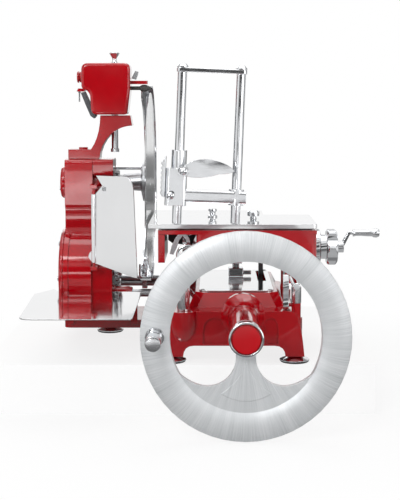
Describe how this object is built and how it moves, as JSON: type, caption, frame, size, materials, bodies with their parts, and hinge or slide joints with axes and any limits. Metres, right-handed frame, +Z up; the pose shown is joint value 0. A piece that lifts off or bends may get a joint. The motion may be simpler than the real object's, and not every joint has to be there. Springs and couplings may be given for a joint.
{
  "type": "hand crank meat slicer",
  "caption": "Hand-turned flywheel slicer: sliding carriage with feed table and press, round blade with guard ring, gear and chain drive, slice tray and sharpener.",
  "frame": {"origin": "in the plane of the feet, where the flywheel's axis seen from above crosses the blade's axis", "axes": "+X along the blade's axis towards the feed crank, +Y from the flywheel to the back, +Z up"},
  "size_m": [0.5926, 0.6613, 0.5767],
  "materials": {
    "red": "gloss enamel on castings",
    "chrome": "bright chrome plate",
    "polished": "mirror polished",
    "satin": "satin plated casting",
    "steel": "ground, oiled",
    "iron": "machined, oiled",
    "bronze": "machined bearing bronze",
    "rubber": "matt black",
    "stone": "dark abrasive"
  },
  "bodies": {
    "base": {"base_casting": "red", "drip_plate": "polished", "foot_front_left": "rubber", "foot_front_right": "rubber", "foot_rear_right": "rubber", "foot_under_column": "rubber", "wheel_bush": "bronze", "drive_chain": "steel", "blade_bush": "bronze", "blade_guard": "chrome", "guard_bars": "chrome", "column": "red", "lower_cover": "red", "upper_cover": "red", "left_rail": "chrome", "right_rail": "chrome", "sharpener_arm": "red"},
    "wheel": {"flywheel": "satin", "wheel_hub": "chrome", "hub_cap": "red", "wheel_shaft": "steel", "wheel_bevel": "steel", "grip_pin": "chrome"},
    "wheel_handle": {"wheel_grip": "polished"},
    "cross": {"cross_shaft": "steel", "cross_bevel": "steel", "crank_disc": "iron", "cross_gear": "steel"},
    "lower": {"lower_shaft": "steel", "lower_gear": "steel", "lower_chain_wheel": "steel"},
    "blade_group": {"blade": "polished", "blade_shaft": "steel", "upper_chain_wheel": "steel"},
    "rocker": {"rocker_arm": "iron"},
    "carriage": {"carriage_body": "red", "left_slider": "chrome", "drive_fork": "chrome", "feed_dial": "chrome"},
    "thickness_knob": {"star_knob": "chrome"},
    "feed": {"feed_screw": "steel", "feed_crank": "chrome"},
    "feed_handle": {"feed_grip": "polished"},
    "table": {"meat_table": "polished", "table_pin": "chrome", "upright_left": "chrome", "upright_right": "chrome", "crossbar": "chrome"},
    "table_clamp": {"table_knob": "chrome"},
    "press": {"press_beam": "chrome", "grip_plate": "chrome"},
    "leaf": {"press_lever": "chrome"},
    "tray": {"receiving_tray": "polished"},
    "deflector": {"deflector_plate": "polished"},
    "spindle": {"sharpener_spindle": "chrome"},
    "head": {"sharpener_head": "red"},
    "button": {"push_button": "red"},
    "stone": {"grind_stone": "stone"},
    "lock": {"lock_lever": "chrome"}
  },
  "joints": [
    {"name": "wheel_spin", "type": "hinge", "parent": "base", "child": "wheel", "pos_m": [0, -0.4, 0.0765], "axis": [0, 1, 0], "continuous": true},
    {"name": "grip_spin", "type": "hinge", "parent": "wheel", "child": "wheel_handle", "pos_m": [-0.131, -0.46, 0.0795], "axis": [0, 1, 0], "continuous": true},
    {"name": "cross_spin", "type": "hinge", "parent": "base", "child": "cross", "pos_m": [-0.1, -0.032, 0.0765], "axis": [1, 0, 0], "continuous": true},
    {"name": "lower_spin", "type": "hinge", "parent": "base", "child": "lower", "pos_m": [-0.26, 0, 0.1135], "axis": [1, 0, 0], "continuous": true},
    {"name": "blade_spin", "type": "hinge", "parent": "base", "child": "blade_group", "pos_m": [-0.2, 0, 0.271], "axis": [1, 0, 0], "continuous": true},
    {"name": "carriage_slide", "type": "slide", "parent": "base", "child": "carriage", "axis": [0, 1, 0], "range_m": [-0.0846, 0.0846]},
    {"name": "rocker_swing", "type": "hinge", "parent": "base", "child": "rocker", "pos_m": [0.037, -0.032, 0.0493], "axis": [-1, 0, 0], "range_deg": [-41.4, 41.4]},
    {"name": "knob_turn", "type": "hinge", "parent": "carriage", "child": "thickness_knob", "pos_m": [0.157, -0.075, 0.164], "axis": [1, 0, 0], "range_deg": [0, 270]},
    {"name": "feed_turn", "type": "hinge", "parent": "carriage", "child": "feed", "pos_m": [0.1, -0.075, 0.164], "axis": [1, 0, 0], "continuous": true},
    {"name": "feed_grip_spin", "type": "hinge", "parent": "feed", "child": "feed_handle", "pos_m": [0.215, -0.075, 0.188], "axis": [1, 0, 0], "continuous": true},
    {"name": "table_feed", "type": "slide", "parent": "carriage", "child": "table", "axis": [1, 0, 0], "range_m": [0, 0.15]},
    {"name": "table_knob_turn", "type": "hinge", "parent": "table", "child": "table_clamp", "pos_m": [0.022, -0.08, 0.22], "axis": [0, 0, 1], "range_deg": [0, 90]},
    {"name": "press_slide", "type": "slide", "parent": "table", "child": "press", "axis": [0.0419, 0, 0.9991], "range_m": [-0.03, 0.12]},
    {"name": "press_lever_turn", "type": "hinge", "parent": "press", "child": "leaf", "pos_m": [-0.0958, -0.182, 0.301], "axis": [0, -1, 0], "range_deg": [0, 60]},
    {"name": "tray_slide", "type": "slide", "parent": "base", "child": "tray", "axis": [0, -1, 0], "range_m": [0, 0.08]},
    {"name": "deflector_swing", "type": "hinge", "parent": "base", "child": "deflector", "pos_m": [-0.252, -0.084, 0.2], "axis": [0, 0, 1], "range_deg": [-75, 0]},
    {"name": "sharpener_lift", "type": "slide", "parent": "base", "child": "spindle", "axis": [0, 0, 1], "range_m": [0, 0.022]},
    {"name": "sharpener_swivel", "type": "hinge", "parent": "spindle", "child": "head", "pos_m": [-0.222, 0, 0.43], "axis": [0, 0, 1], "range_deg": [-100, 0]},
    {"name": "button_push", "type": "slide", "parent": "head", "child": "button", "axis": [1, 0, 0], "range_m": [0, 0.004], "stiffness_N_per_m": 400},
    {"name": "stone_spin", "type": "hinge", "parent": "head", "child": "stone", "pos_m": [-0.17, 0, 0.438], "axis": [1, 0, 0], "continuous": true},
    {"name": "lock_turn", "type": "hinge", "parent": "base", "child": "lock", "pos_m": [0.0685, -0.236, 0.091], "axis": [1, 0, 0], "range_deg": [-30, 0]}
  ],
  "couplings": [
    {"joint": "cross_spin", "follows": "wheel_spin", "ratio": -1},
    {"joint": "lower_spin", "follows": "wheel_spin", "ratio": 2},
    {"joint": "blade_spin", "follows": "wheel_spin", "ratio": 4},
    {"joint": "rocker_swing", "follows": "carriage_slide", "rad_per_m": 8.536}
  ]
}
